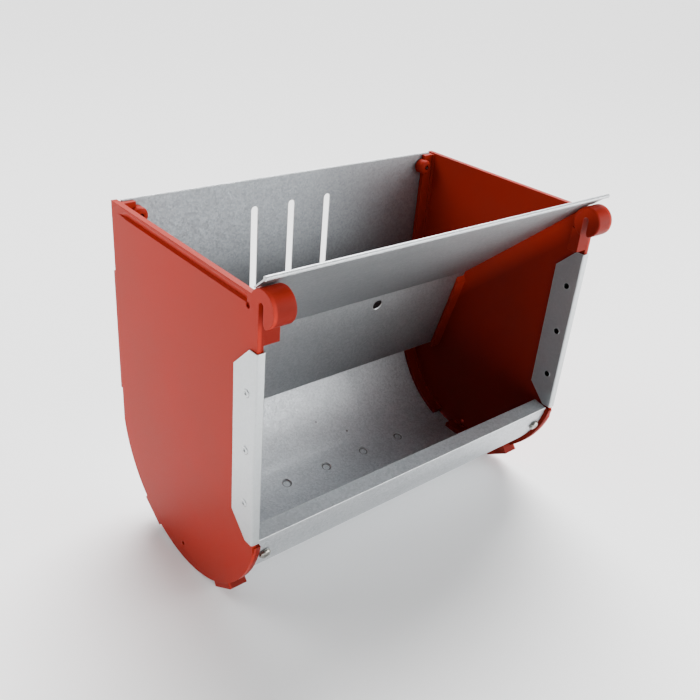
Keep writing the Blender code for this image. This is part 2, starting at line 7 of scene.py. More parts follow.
import json
import logging
import math
from abc import ABC, abstractmethod
from collections.abc import Mapping, Sequence
from dataclasses import dataclass, field
from enum import Enum
from typing import Any

import bpy
from mathutils import Matrix, Vector

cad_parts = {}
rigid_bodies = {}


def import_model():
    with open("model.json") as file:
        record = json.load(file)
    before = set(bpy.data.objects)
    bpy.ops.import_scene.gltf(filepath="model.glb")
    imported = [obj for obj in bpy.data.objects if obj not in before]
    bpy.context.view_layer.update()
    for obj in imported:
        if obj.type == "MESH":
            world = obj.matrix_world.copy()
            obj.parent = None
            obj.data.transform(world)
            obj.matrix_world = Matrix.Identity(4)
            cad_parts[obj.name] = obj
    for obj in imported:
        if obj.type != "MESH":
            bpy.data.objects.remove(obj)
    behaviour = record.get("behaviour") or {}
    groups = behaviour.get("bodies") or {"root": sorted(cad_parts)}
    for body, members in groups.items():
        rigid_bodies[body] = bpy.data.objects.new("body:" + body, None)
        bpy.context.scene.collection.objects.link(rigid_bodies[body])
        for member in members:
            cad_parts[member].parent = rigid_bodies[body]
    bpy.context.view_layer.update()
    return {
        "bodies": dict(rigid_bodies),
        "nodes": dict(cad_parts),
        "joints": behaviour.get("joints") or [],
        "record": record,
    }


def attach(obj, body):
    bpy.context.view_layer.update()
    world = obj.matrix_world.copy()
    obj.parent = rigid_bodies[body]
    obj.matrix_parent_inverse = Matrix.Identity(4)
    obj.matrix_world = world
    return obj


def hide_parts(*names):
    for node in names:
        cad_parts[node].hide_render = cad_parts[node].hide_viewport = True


MM = 0.001

log = logging.getLogger("rabbit_feeder")


class End(Enum):
    """The two ends of the feeder, valued by the sign of their X position."""

    LEFT = -1
    RIGHT = 1

    @property
    def word(self) -> str:
        """Name of the end as it stands in the node names."""
        return self.name.lower()


class Spangle(Enum):
    """How clearly the zinc crystals of a galvanised sheet show, as a share of full contrast."""

    FAINT = 0.35
    PLAIN = 0.6


def linear_colour(code: str) -> tuple[float, float, float, float]:
    """Turn an sRGB hex colour into a linear colour with full alpha.

    Args:
        code: A hash and six hex digits.

    Returns:
        Red, green, blue and alpha as linear values.
    """
    digits = code.lstrip("#")
    channels = [int(digits[start:start + 2], 16) / 255 for start in (0, 2, 4)]
    linear = [value / 12.92 if value <= 0.04045 else ((value + 0.055) / 1.055) ** 2.4 for value in channels]
    return linear[0], linear[1], linear[2], 1.0


def add_node(
    material: bpy.types.Material,
    kind: str,
    sockets: Mapping[str | int, Any] | None = None,
    **settings: Any,
) -> bpy.types.Node:
    """Add a shader node with its settings, its values and its links.

    Args:
        material: Material whose tree takes the node.
        kind: Blender's name of the node type.
        sockets: Input name or index to a value, or to the output socket that feeds it.
        **settings: Properties of the node itself.

    Returns:
        The new node.
    """
    tree = material.node_tree
    node = tree.nodes.new(kind)
    for name, value in settings.items():
        setattr(node, name, value)
    for name, value in (sockets or {}).items():
        if isinstance(value, bpy.types.NodeSocket):
            tree.links.new(value, node.inputs[name])
        else:
            node.inputs[name].default_value = value
    return node


def blank_material(name: str) -> tuple[bpy.types.Material, bpy.types.Node]:
    """Make a node material that holds only its shader and output.

    Args:
        name: Name of the real material.

    Returns:
        The material and its Principled shader.
    """
    material = bpy.data.materials.new(name)
    material.use_nodes = True
    return material, material.node_tree.nodes["Principled BSDF"]


def per_metre(size_mm: float) -> float:
    """Texture scale that gives features of a size in millimetres on coordinates in metres."""
    return 1.0 / (size_mm * MM)


def ramp(
    material: bpy.types.Material,
    value: bpy.types.NodeSocket,
    span: tuple[float, float],
    result: tuple[float, float] = (0.0, 1.0),
) -> bpy.types.NodeSocket:
    """Map a value from one span to another, flat beyond its ends.

    Args:
        material: Material that takes the node.
        value: Value to map.
        span: Value at the start and at the end.
        result: Result at the start and at the end.

    Returns:
        The mapped value.
    """
    node = add_node(material, "ShaderNodeMapRange",
                    {"Value": value, "From Min": span[0], "From Max": span[1],
                     "To Min": result[0], "To Max": result[1]})
    return node.outputs[0]


def mixed_colour(
    material: bpy.types.Material,
    share: bpy.types.NodeSocket,
    first: bpy.types.NodeSocket | Sequence[float],
    second: bpy.types.NodeSocket | Sequence[float],
) -> bpy.types.NodeSocket:
    """Mix two colours.

    Args:
        material: Material that takes the node.
        share: Share of the second colour.
        first: First colour.
        second: Second colour.

    Returns:
        The mixed colour.
    """
    node = add_node(material, "ShaderNodeMix", {"Factor": share, "A": first, "B": second}, data_type="RGBA")
    return node.outputs["Result"]


def scaled_colour(
    material: bpy.types.Material,
    colour: bpy.types.NodeSocket,
    gain: bpy.types.NodeSocket,
) -> bpy.types.NodeSocket:
    """Multiply a colour by a gain."""
    return add_node(material, "ShaderNodeVectorMath", {0: colour, "Scale": gain}, operation="SCALE").outputs[0]


def product(
    material: bpy.types.Material,
    first: bpy.types.NodeSocket,
    second: bpy.types.NodeSocket,
) -> bpy.types.NodeSocket:
    """Multiply two values."""
    return add_node(material, "ShaderNodeMath", {0: first, 1: second}, operation="MULTIPLY").outputs[0]


def size_of(material: bpy.types.Material, value: bpy.types.NodeSocket) -> bpy.types.NodeSocket:
    """Take the sign off a value."""
    return add_node(material, "ShaderNodeMath", {0: value}, operation="ABSOLUTE").outputs[0]


def axes_of(material: bpy.types.Material, place: bpy.types.NodeSocket) -> Sequence[bpy.types.NodeSocket]:
    """Split a place into its X, Y and Z."""
    return add_node(material, "ShaderNodeSeparateXYZ", {0: place}).outputs


def in_metres(span_mm: tuple[float, float]) -> tuple[float, float]:
    """Turn a span in millimetres into metres."""
    return span_mm[0] * MM, span_mm[1] * MM


def edge_wear(
    material: bpy.types.Material,
    rounded: bpy.types.Node,
    reach: tuple[float, float],
    most: float,
) -> bpy.types.NodeSocket:
    """Find the edges, where the rounded normal turns away from the true one.

    Args:
        material: Material that takes the nodes.
        rounded: Its bevel node.
        reach: Cosine of that turn where wear and painted highlight start and where they are full.
        most: Share of wear and painted highlight where it is full.

    Returns:
        Share of wear, zero on flat faces.
    """
    geometry = add_node(material, "ShaderNodeNewGeometry")
    turn = add_node(material, "ShaderNodeVectorMath",
                    {0: rounded.outputs[0], 1: geometry.outputs["True Normal"]}, operation="DOT_PRODUCT")
    return ramp(material, turn.outputs["Value"], reach, (0.0, most))


class WearAndPaintedLight(ABC):
    """A mark on part of a surface: real dirt, or light and shade painted into its colour."""

    @abstractmethod
    def apply(
        self,
        material: bpy.types.Material,
        place: bpy.types.NodeSocket,
        surface: bpy.types.NodeSocket,
    ) -> bpy.types.NodeSocket:
        """Put the mark on a surface.

        Args:
            material: Material that takes the nodes.
            place: Object coordinates.
            surface: Colour of the surface without the mark.

        Returns:
            Colour of the surface with the mark.
        """


@dataclass(frozen=True)
class PaintedShadeInside(WearAndPaintedLight):
    """Painted shadow of the baffle on the inner faces of the end plates in front of it."""

    web_middle_mm: float = 122.3     # distance from the middle of the width; nearer is the inner face
    web_fade_mm: float = 0.5
    fold_mm: tuple[float, float] = (24.0, 127.0)     # depth and height of the baffle's fold
    slope: tuple[float, float] = (-0.7517, 0.6595)   # direction of the baffle's upper slope
    fade_mm: float = 12.0
    gain: float = 0.45

    def apply(
        self,
        material: bpy.types.Material,
        place: bpy.types.NodeSocket,
        surface: bpy.types.NodeSocket,
    ) -> bpy.types.NodeSocket:
        """Paint the baffle's shadow: darken the inner side of the web beyond the plane of its upper slope."""
        across = size_of(material, axes_of(material, place)[0])
        web = (self.web_middle_mm + self.web_fade_mm, self.web_middle_mm - self.web_fade_mm)
        inside = ramp(material, across, in_metres(web))
        along, rise = self.slope
        below = add_node(material, "ShaderNodeVectorMath", {0: place, 1: (0.0, -rise, along)},
                         operation="DOT_PRODUCT")
        start = -rise * self.fold_mm[0] + along * self.fold_mm[1]
        under = ramp(material, below.outputs["Value"], in_metres((start, start + self.fade_mm)))
        gain = ramp(material, product(material, inside, under), (0.0, 1.0), (1.0, self.gain))
        return scaled_colour(material, surface, gain)


@dataclass(frozen=True)
class PaintedShadeBore(WearAndPaintedLight):
    """Bores of the hollow rivets, darkened with painted shade."""

    mouth_mm: tuple[float, float] = (119.72, 119.84)     # where the painted shade starts, from the middle of the width
    end_mm: tuple[float, float] = (125.2, 125.1)         # where it has stopped, under the rivet's head
    gain: float = 0.05

    def apply(
        self,
        material: bpy.types.Material,
        place: bpy.types.NodeSocket,
        surface: bpy.types.NodeSocket,
    ) -> bpy.types.NodeSocket:
        """Paint shade into the rivet between the mouth and the end of its bore."""
        across = size_of(material, axes_of(material, place)[0])
        entered = ramp(material, across, in_metres(self.mouth_mm))
        within = ramp(material, across, in_metres(self.end_mm))
        gain = ramp(material, product(material, entered, within), (0.0, 1.0), (1.0, self.gain))
        return scaled_colour(material, surface, gain)


@dataclass(frozen=True)
class PaintedShadeTop(WearAndPaintedLight):
    """Upper part of the baffle, darker with painted shade."""

    height_mm: tuple[float, float] = (129.0, 131.0)
    gain: float = 0.74

    def apply(
        self,
        material: bpy.types.Material,
        place: bpy.types.NodeSocket,
        surface: bpy.types.NodeSocket,
    ) -> bpy.types.NodeSocket:
        """Darken the zinc a little above a height, as painted shade."""
        height = axes_of(material, place)[2]
        return scaled_colour(material, surface, ramp(material, height, in_metres(self.height_mm), (1.0, self.gain)))


@dataclass(frozen=True)
class PaintedLightFloor(WearAndPaintedLight):
    """Painted light on the floor of the trough, and less of it on the lip."""

    lip_mm: tuple[float, float] = (-54.0, -46.0)         # depth where the lip ends and the floor begins
    throat_mm: tuple[float, float] = (85.0, 60.0)        # height where the painted light starts and where it is full
    painted_light_extra: tuple[float, float] = (0.30, 0.80)            # painted light added to the lip and to the floor

    def apply(
        self,
        material: bpy.types.Material,
        place: bpy.types.NodeSocket,
        surface: bpy.types.NodeSocket,
    ) -> bpy.types.NodeSocket:
        """Paint light onto the lip and the floor."""
        _, depth, height = axes_of(material, place)
        painted_light_extra = ramp(material, ramp(material, depth, in_metres(self.lip_mm)), (0.0, 1.0), self.painted_light_extra)
        below_throat = ramp(material, height, in_metres(self.throat_mm))
        gain = add_node(material, "ShaderNodeMath", {0: below_throat, 1: painted_light_extra, 2: 1.0}, operation="MULTIPLY_ADD")
        return scaled_colour(material, surface, gain.outputs[0])


@dataclass(frozen=True)
class PaintedShadeDimples(WearAndPaintedLight):
    """Painted shade in a ring in the wall of each of the five dimples, one in the middle and two to each side."""

    half_pitch_mm: float = 17.25
    row_mm: tuple[float, float] = (21.5, 5.3)            # depth and height of the row
    row_half_mm: float = 80.0                            # half the length of the row, with some room
    ring_mm: float = 2.9
    wall_mm: tuple[float, float] = (0.65, 0.25)          # distance from the ring where the painted shade starts and is full
    share: float = 0.75
    dust: str = "#4A4644"

    def apply(
        self,
        material: bpy.types.Material,
        place: bpy.types.NodeSocket,
        surface: bpy.types.NodeSocket,
    ) -> bpy.types.NodeSocket:
        """Darken a thin ring about the middle of each dimple with painted shade."""
        width, depth, height = axes_of(material, place)
        pitch = self.half_pitch_mm * MM
        across = add_node(material, "ShaderNodeMath", {0: width, 1: pitch, 2: -pitch}, operation="WRAP")
        offset = add_node(material, "ShaderNodeCombineXYZ", {0: across.outputs[0], 1: depth, 2: height})
        reach = add_node(material, "ShaderNodeVectorMath", {0: offset.outputs[0], 1: (0.0, *in_metres(self.row_mm))},
                         operation="DISTANCE")
        away = add_node(material, "ShaderNodeMath", {0: reach.outputs["Value"], 1: self.ring_mm * MM},
                        operation="SUBTRACT")
        ring = ramp(material, size_of(material, away.outputs[0]), in_metres(self.wall_mm), (0.0, self.share))
        inside = add_node(material, "ShaderNodeMath", {0: size_of(material, width), 1: self.row_half_mm * MM},
                          operation="LESS_THAN")
        share = product(material, ring, inside.outputs[0])
        return mixed_colour(material, share, surface, linear_colour(self.dust))


@dataclass(frozen=True)
class FeedCrumbs(WearAndPaintedLight):
    """A few dark crumbs of feed, in loose patches."""

    spacing_mm: float = 14.0
    patch_mm: float = 30.0
    crumb: tuple[float, float] = (0.07, 0.045)           # edge of a crumb, as a share of the spacing
    patchy: tuple[float, float] = (0.52, 0.60)
    colour: str = "#5A5654"

    def apply(
        self,
        material: bpy.types.Material,
        place: bpy.types.NodeSocket,
        surface: bpy.types.NodeSocket,
    ) -> bpy.types.NodeSocket:
        """Scatter the crumbs over the colour."""
        crumbs = add_node(material, "ShaderNodeTexVoronoi", {"Vector": place, "Scale": per_metre(self.spacing_mm)})
        patch = add_node(material, "ShaderNodeTexNoise", {"Vector": place, "Scale": per_metre(self.patch_mm)})
        near = ramp(material, crumbs.outputs["Distance"], self.crumb)
        where = ramp(material, patch.outputs[0], self.patchy)
        return mixed_colour(material, product(material, near, where), surface, linear_colour(self.colour))


@dataclass(frozen=True)
class MouldedPolypropylene:
    """Red polypropylene, injection moulded: dull, faintly grained, a little paler at the edges from wear and a
    painted highlight.
    """

    name: str = "moulded_polypropylene_red"
    body: str = "#9E261B"
    faded: str = "#982A1F"
    # paler edges: wear and a painted highlight
    rubbed: str = "#B84A3A"
    roughness: float = 0.42
    roughness_spread: float = 0.05
    gloss: float = 0.04          # kept low, because the pale floor's reflection washes the red out
    grain_mm: float = 0.6        # mould texture is about 0.1 mm, drawn coarser so that it shows
    relief_mm: float = 0.04
    flow_mm: float = 60.0        # slow colour change where the melt flowed
    edge_mm: float = 0.45
    edge_reach: tuple[float, float] = (0.985, 0.80)
    edge_share: float = 0.45
    # painted shadow of the baffle on the inner faces of the plates
    marks: tuple[WearAndPaintedLight, ...] = (PaintedShadeInside(),)

    def make(self) -> bpy.types.Material:
        """Build the material.

        Returns:
            The finished material.
        """
        material, shader = blank_material(self.name)
        place = add_node(material, "ShaderNodeTexCoord").outputs["Object"]
        flow = add_node(material, "ShaderNodeTexNoise",
                        {"Vector": place, "Scale": per_metre(self.flow_mm), "Detail": 3.0, "Roughness": 0.55})
        grain = add_node(material, "ShaderNodeTexNoise",
                         {"Vector": place, "Scale": per_metre(self.grain_mm), "Detail": 2.0})
        surface = mixed_colour(material, ramp(material, flow.outputs[0], (0.38, 0.62)),
                               linear_colour(self.body), linear_colour(self.faded))
        for mark in self.marks:
            surface = mark.apply(material, place, surface)
        # Paler edges: wear, and a painted highlight on the rounded edges.
        rounded = add_node(material, "ShaderNodeBevel", {"Radius": self.edge_mm * MM}, samples=6)
        wear_and_highlight = edge_wear(material, rounded, self.edge_reach, self.edge_share)
        dull = ramp(material, grain.outputs[0], (0.3, 0.7),
                    (self.roughness - self.roughness_spread, self.roughness + self.roughness_spread))
        relief = add_node(material, "ShaderNodeBump",
                          {"Height": grain.outputs[0], "Normal": rounded.outputs[0],
                           "Strength": 0.12, "Distance": self.relief_mm * MM})
        links = material.node_tree.links
        links.new(mixed_colour(material, wear_and_highlight, surface, linear_colour(self.rubbed)), shader.inputs["Base Color"])
        links.new(dull, shader.inputs["Roughness"])
        links.new(relief.outputs[0], shader.inputs["Normal"])
        shader.inputs["Metallic"].default_value = 0.0
        shader.inputs["IOR"].default_value = 1.49
        shader.inputs["Specular IOR Level"].default_value = self.gloss
        return material


@dataclass(frozen=True)
class GalvanisedSteel:
    """Hot-dip galvanised sheet: matt zinc grey with fine crystals, some brighter than their neighbours, and a
    painted highlight along edges and folds.
    """

    name: str
    spangle: Spangle = Spangle.PLAIN
    bright: str = "#B4B7BA"
    dark: str = "#8F9396"
    # painted highlight along edges and folds
    rubbed: str = "#F1F3F4"
    roughness: float = 0.50
    crystal_mm: float = 1.1      # minimised spangle, crystals of about 1 mm
    ragged: float = 0.8          # how far the crystals' borders stray, as a share of their size
    grit_mm: float = 0.45
    cloud_mm: float = 22.0
    relief_mm: float = 0.05
    edge_mm: float = 0.7
    edge_reach: tuple[float, float] = (0.995, 0.90)
    edge_share: float = 0.85
    marks: tuple[WearAndPaintedLight, ...] = ()

    def make(self) -> bpy.types.Material:
        """Build the material.

        Returns:
            The finished material.
        """
        material, shader = blank_material(self.name)
        contrast = self.spangle.value
        place = add_node(material, "ShaderNodeTexCoord").outputs["Object"]
        stir = add_node(material, "ShaderNodeTexNoise",
                        {"Vector": place, "Scale": per_metre(self.crystal_mm * 1.5), "Detail": 1.0})
        bend = add_node(material, "ShaderNodeVectorMath",
                        {0: stir.outputs["Color"], 1: (self.crystal_mm * MM * self.ragged,) * 3},
                        operation="MULTIPLY")
        strayed = add_node(material, "ShaderNodeVectorMath", {0: place, 1: bend.outputs[0]}, operation="ADD")
        crystal = add_node(material, "ShaderNodeTexVoronoi",
                           {"Vector": strayed.outputs[0], "Scale": per_metre(self.crystal_mm)})
        shade = add_node(material, "ShaderNodeSeparateColor", {0: crystal.outputs["Color"]})
        grit = add_node(material, "ShaderNodeTexNoise",
                        {"Vector": place, "Scale": per_metre(self.grit_mm), "Detail": 3.0, "Roughness": 0.7})
        cloud = add_node(material, "ShaderNodeTexNoise",
                         {"Vector": place, "Scale": per_metre(self.cloud_mm), "Detail": 3.0})
        pair = add_node(material, "ShaderNodeMix",
                        {"Factor": 0.45, "A": shade.outputs[0], "B": grit.outputs[0]})
        blend = add_node(material, "ShaderNodeMix",
                         {"Factor": 0.30, "A": pair.outputs["Result"], "B": cloud.outputs[0]})
        share = ramp(material, blend.outputs["Result"], (0.25, 0.75), (0.5 - 0.5 * contrast, 0.5 + 0.5 * contrast))
        surface = mixed_colour(material, share, linear_colour(self.dark), linear_colour(self.bright))
        for mark in self.marks:
            surface = mark.apply(material, place, surface)
        dull = ramp(material, shade.outputs[1], (0.0, 1.0),
                    (self.roughness - 0.10 * contrast, self.roughness + 0.12 * contrast))
        # Painted highlight along edges and folds, mixed into the colour.
        rounded = add_node(material, "ShaderNodeBevel", {"Radius": self.edge_mm * MM}, samples=6)
        wear_and_highlight = edge_wear(material, rounded, self.edge_reach, self.edge_share)
        relief = add_node(material, "ShaderNodeBump",
                          {"Height": pair.outputs["Result"], "Normal": rounded.outputs[0],
                           "Strength": 0.25 * contrast, "Distance": self.relief_mm * MM})
        links = material.node_tree.links
        links.new(mixed_colour(material, wear_and_highlight, surface, linear_colour(self.rubbed)), shader.inputs["Base Color"])
        links.new(dull, shader.inputs["Roughness"])
        links.new(relief.outputs[0], shader.inputs["Normal"])
        shader.inputs["Metallic"].default_value = 1.0
        return material


@dataclass(frozen=True)
class ZincPlatedSteel:
    """Cold-headed steel with thin bright zinc: smoother and yellower than the sheet, with fine wear marks."""

    name: str = "zinc_plated_steel"
    bright: str = "#B5B4AC"
    dark: str = "#6F6E68"
    roughness: float = 0.27
    mark_mm: float = 0.9

    def make(self) -> bpy.types.Material:
        """Build the material.

        Returns:
            The finished material.
        """
        material, shader = blank_material(self.name)
        place = add_node(material, "ShaderNodeTexCoord").outputs["Object"]
        marks = add_node(material, "ShaderNodeTexNoise",
                         {"Vector": place, "Scale": per_metre(self.mark_mm), "Detail": 4.0, "Roughness": 0.65})
        colour = mixed_colour(material, marks.outputs[0], linear_colour(self.dark), linear_colour(self.bright))
        dull = ramp(material, marks.outputs[0], (0.3, 0.7), (self.roughness - 0.06, self.roughness + 0.10))
        links = material.node_tree.links
        links.new(colour, shader.inputs["Base Color"])
        links.new(dull, shader.inputs["Roughness"])
        shader.inputs["Metallic"].default_value = 1.0
        return material


@dataclass(frozen=True)
class StudioPaper:
    """Seamless white paper: flat, very matt."""

    name: str = "studio_paper"
    colour: str = "#FBFBFB"

    def make(self) -> bpy.types.Material:
        """Build the material.

        Returns:
            The finished material.
        """
        material, shader = blank_material(self.name)
        shader.inputs["Base Color"].default_value = linear_colour(self.colour)
        shader.inputs["Roughness"].default_value = 0.9
        shader.inputs["Specular IOR Level"].default_value = 0.1
        return material


def turned_piece(name: str, profile: Sequence[tuple[float, float]], segments: int) -> bpy.types.Object:
    """Raise a turned piece about Z from a filled circle, extruding and scaling its face ring by ring.

    Args:
        name: Name of the new piece.
        profile: Radius and height of each ring, from the first cap to the last.
        segments: Sides of the rings.

    Returns:
        The new piece, with its axis on Z.
    """
    bpy.ops.object.select_all(action="DESELECT")
    radius, height = profile[0]
    bpy.ops.mesh.primitive_circle_add(vertices=segments, radius=radius * MM, fill_type="NGON",
                                      location=(0.0, 0.0, height * MM))
    piece = bpy.context.object
    piece.name = piece.data.name = name
    bpy.ops.object.mode_set(mode="EDIT")
    bpy.ops.mesh.select_all(action="SELECT")
    for (before, low), (after, high) in zip(profile, profile[1:]):
        bpy.ops.mesh.extrude_region_move(TRANSFORM_OT_translate={"value": (0.0, 0.0, (high - low) * MM)})
        bpy.ops.transform.resize(value=(after / before, after / before, 1.0),
                                 center_override=(0.0, 0.0, high * MM))
    bpy.ops.mesh.select_all(action="SELECT")
    bpy.ops.mesh.remove_doubles(threshold=0.001 * MM)
    bpy.ops.mesh.normals_make_consistent(inside=False)
    bpy.ops.object.mode_set(mode="OBJECT")
    return piece


def make_active(piece: bpy.types.Object) -> None:
    """Select one piece alone and make it the active one."""
    bpy.ops.object.select_all(action="DESELECT")
    piece.select_set(True)
    bpy.context.view_layer.objects.active = piece


def set_in_place(piece: bpy.types.Object, where: Vector, outward: Vector) -> None:
    """Turn a piece from Z to a direction, move it and put the place into its mesh.

    Args:
        piece: Piece modelled about the Z axis at the origin.
        where: Place of the piece's own origin, in metres.
        outward: Direction that its Z axis takes.
    """
    turn = Vector((0.0, 0.0, 1.0)).rotation_difference(outward).to_matrix().to_4x4()
    make_active(piece)
    piece.matrix_world = Matrix.Translation(where) @ turn @ piece.matrix_world
    bpy.ops.object.transform_apply(location=True, rotation=True, scale=True)


def dress(piece: bpy.types.Object, material: bpy.types.Material) -> None:
    """Give a piece one material in place of those it has."""
    piece.data.materials.clear()
    piece.data.materials.append(material)


def dress_node(frame: Mapping[str, Any], name: str, material: bpy.types.Material, crease: float = 32.0) -> None:
    """Finish a CAD node: one material, and smooth shading that breaks at its edges.

    Args:
        name: Name of the node.
        material: Its finish.
        crease: Angle in degrees above which an edge stays sharp.
    """
    node = frame["nodes"][name]
    dress(node, material)
    make_active(node)
    if node.data.has_custom_normals:
        bpy.ops.mesh.customdata_custom_splitnormals_clear()
    node.data.shade_smooth()
    weld = node.modifiers.new("weld", "WELD")
    weld.merge_threshold = 0.002 * MM
    split = node.modifiers.new("creases", "EDGE_SPLIT")
    split.split_angle = math.radians(crease)
    even = node.modifiers.new("even_shading", "WEIGHTED_NORMAL")
    even.mode, even.weight, even.keep_sharp = "FACE_AREA", 100, True
    log.info("%s: %s", name, material.name)


@dataclass
class EndPlates:
    """The two moulded end plates, kept as the CAD has them."""

    frame: Mapping[str, Any]
    plastic: bpy.types.Material

    def dress(self) -> None:
        """Give both plates their plastic."""
        for end in End:
            dress_node(self.frame, f"{end.word}_end_plate", self.plastic, crease=20.0)


@dataclass
class SheetMetal:
    """Trough sheet, feed baffle and the two edge guards."""

    frame: Mapping[str, Any]
    trough_zinc: bpy.types.Material
    baffle_zinc: bpy.types.Material
    guard_zinc: bpy.types.Material

    def dress(self) -> None:
        """Give each sheet its own zinc."""
        dress_node(self.frame, "trough_sheet", self.trough_zinc, crease=24.0)
        dress_node(self.frame, "feed_baffle", self.baffle_zinc, crease=20.0)
        for end in End:
            dress_node(self.frame, f"{end.word}_edge_guard", self.guard_zinc, crease=30.0)


@dataclass
class PanHeadScrews:
    """Four 3.5 mm pan head screws with a cross recess, modelled once and copied."""

    steel: bpy.types.Material
    head_radius: float = 3.5
    head_height: float = 2.4
    shank_radius: float = 1.45
    thread_depth: float = 0.35
    thread_pitch: float = 1.3
    point_length: float = 1.8
    recess_span: float = 3.9
    recess_width: float = 0.85
    recess_depth: float = 1.6
    recess_turn: float = 25.0        # degrees
    recess_taper: float = 0.3        # width at the bottom as a share of that at the top
    lip_angle: float = -159.4
    lip_seat_radius: float = 71.95
    lip_across: float = 112.9
    back_across: float = 111.3
    back_seat: tuple[float, float] = (75.8, 196.4)
    trough_centre: tuple[float, float] = (3.2, 74.8)
    lengths: Mapping[str, float] = field(default_factory=lambda: {"lip": 9.0, "back": 9.6})

    def profile(self, length: float) -> list[tuple[float, float]]:
        """Rings of a screw from its tip to the crown of its head.

        Args:
            length: Length under the head.

        Returns:
            Radius and height of each ring, with the seat at height zero.
        """
        core, crest, pitch = self.shank_radius - self.thread_depth, self.shank_radius, self.thread_pitch
        rings = [(0.25, -length), (core, -length + self.point_length)]
        height = -length + self.point_length + 0.4
        while height < -1.6:
            rings += [(core, height), (crest, height + 0.35 * pitch), (core, height + 0.7 * pitch)]
            height += pitch
        radius, high = self.head_radius, self.head_height
        rings += [(crest, -0.6), (crest, 0.0), (radius - 0.35, 0.0), (radius - 0.06, 0.1), (radius, 0.35)]
        for step in range(1, 8):
            angle = math.radians(90.0 * step / 7)
            rings.append((radius * 0.62 + radius * 0.38 * math.cos(angle), 0.35 + (high - 0.45) * math.sin(angle)))
        rings += [(radius * 0.3, high - 0.02), (radius * 0.05, high)]
        return rings

    def cut_recess(self, screw: bpy.types.Object) -> None:
        """Cut the tapering cross recess into the head with two wedge-shaped blades.

        Args:
            screw: Screw whose head is to be cut.
        """
        blades = []
        for quarter in range(2):
            bpy.ops.object.select_all(action="DESELECT")
            bpy.ops.mesh.primitive_cube_add(size=1.0, location=(0.0, 0.0, self.head_height * MM))
            blade = bpy.context.object
            blade.scale = (self.recess_span * MM, self.recess_width * MM, 2.0 * self.recess_depth * MM)
            blade.rotation_euler = (0.0, 0.0, math.radians(self.recess_turn + 90.0 * quarter))
            bpy.ops.object.transform_apply(location=False, rotation=True, scale=True)
            bpy.ops.object.mode_set(mode="EDIT")
            bpy.ops.mesh.select_all(action="DESELECT")
            bpy.ops.object.mode_set(mode="OBJECT")
            for face in blade.data.polygons:
                face.select = face.normal.z < -0.5
            bpy.ops.object.mode_set(mode="EDIT")
            low = (self.head_height - self.recess_depth) * MM
            bpy.ops.transform.resize(value=(self.recess_taper, self.recess_taper, 1.0),
                                     center_override=(0.0, 0.0, low))
            bpy.ops.object.mode_set(mode="OBJECT")
            blades.append(blade)
        make_active(screw)
        for blade in blades:
            cut = screw.modifiers.new("recess", "BOOLEAN")
            cut.operation, cut.solver, cut.object = "DIFFERENCE", "EXACT", blade
            bpy.ops.object.modifier_apply(modifier=cut.name)
        for blade in blades:
            bpy.data.objects.remove(blade, do_unlink=True)

    def model(self, kind: str) -> bpy.types.Object:
        """Model one screw about the Z axis.

        Args:
            kind: Which length it takes, "lip" or "back".

        Returns:
            The screw, with its seat at the origin.
        """
        screw = turned_piece(f"{kind}_screw_master", self.profile(self.lengths[kind]), 40)
        make_active(screw)
        bpy.ops.object.transform_apply(location=True, rotation=True, scale=True)
        self.cut_recess(screw)
        bpy.ops.object.shade_smooth_by_angle(angle=math.radians(38))
        return screw

    def seat(self, kind: str, end: End) -> tuple[Vector, Vector]:
        """Find where a screw sits.

        Args:
            kind: "lip" or "back".
            end: Which end of the feeder.

        Returns:
            Middle of its seat in metres, and the direction from the seat to the head.
        """
        if kind == "back":
            depth, height = self.back_seat
            return Vector((end.value * self.back_across, depth, height)) * MM, Vector((0.0, 1.0, 0.0))
        angle = math.radians(self.lip_angle)
        outward = Vector((0.0, math.cos(angle), math.sin(angle)))
        middle = Vector((end.value * self.lip_across, *self.trough_centre))
        return (middle + outward * self.lip_seat_radius) * MM, outward

    def build(self) -> None:
        """Model each kind once, copy it to both ends and let the copies stand for the CAD screws."""
        for kind in ("lip", "back"):
            master = self.model(kind)
            for end in End:
                screw = master.copy()
                screw.data = master.data.copy()
                screw.name = f"{end.word}_{kind}_screw_detailed"
                bpy.context.scene.collection.objects.link(screw)
                set_in_place(screw, *self.seat(kind, end))
                dress(screw, self.steel)
                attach(screw, "hopper")
                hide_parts(f"{end.word}_{kind}_screw")
                log.info("%s: %s", screw.name, self.steel.name)
            bpy.data.objects.remove(master, do_unlink=True)


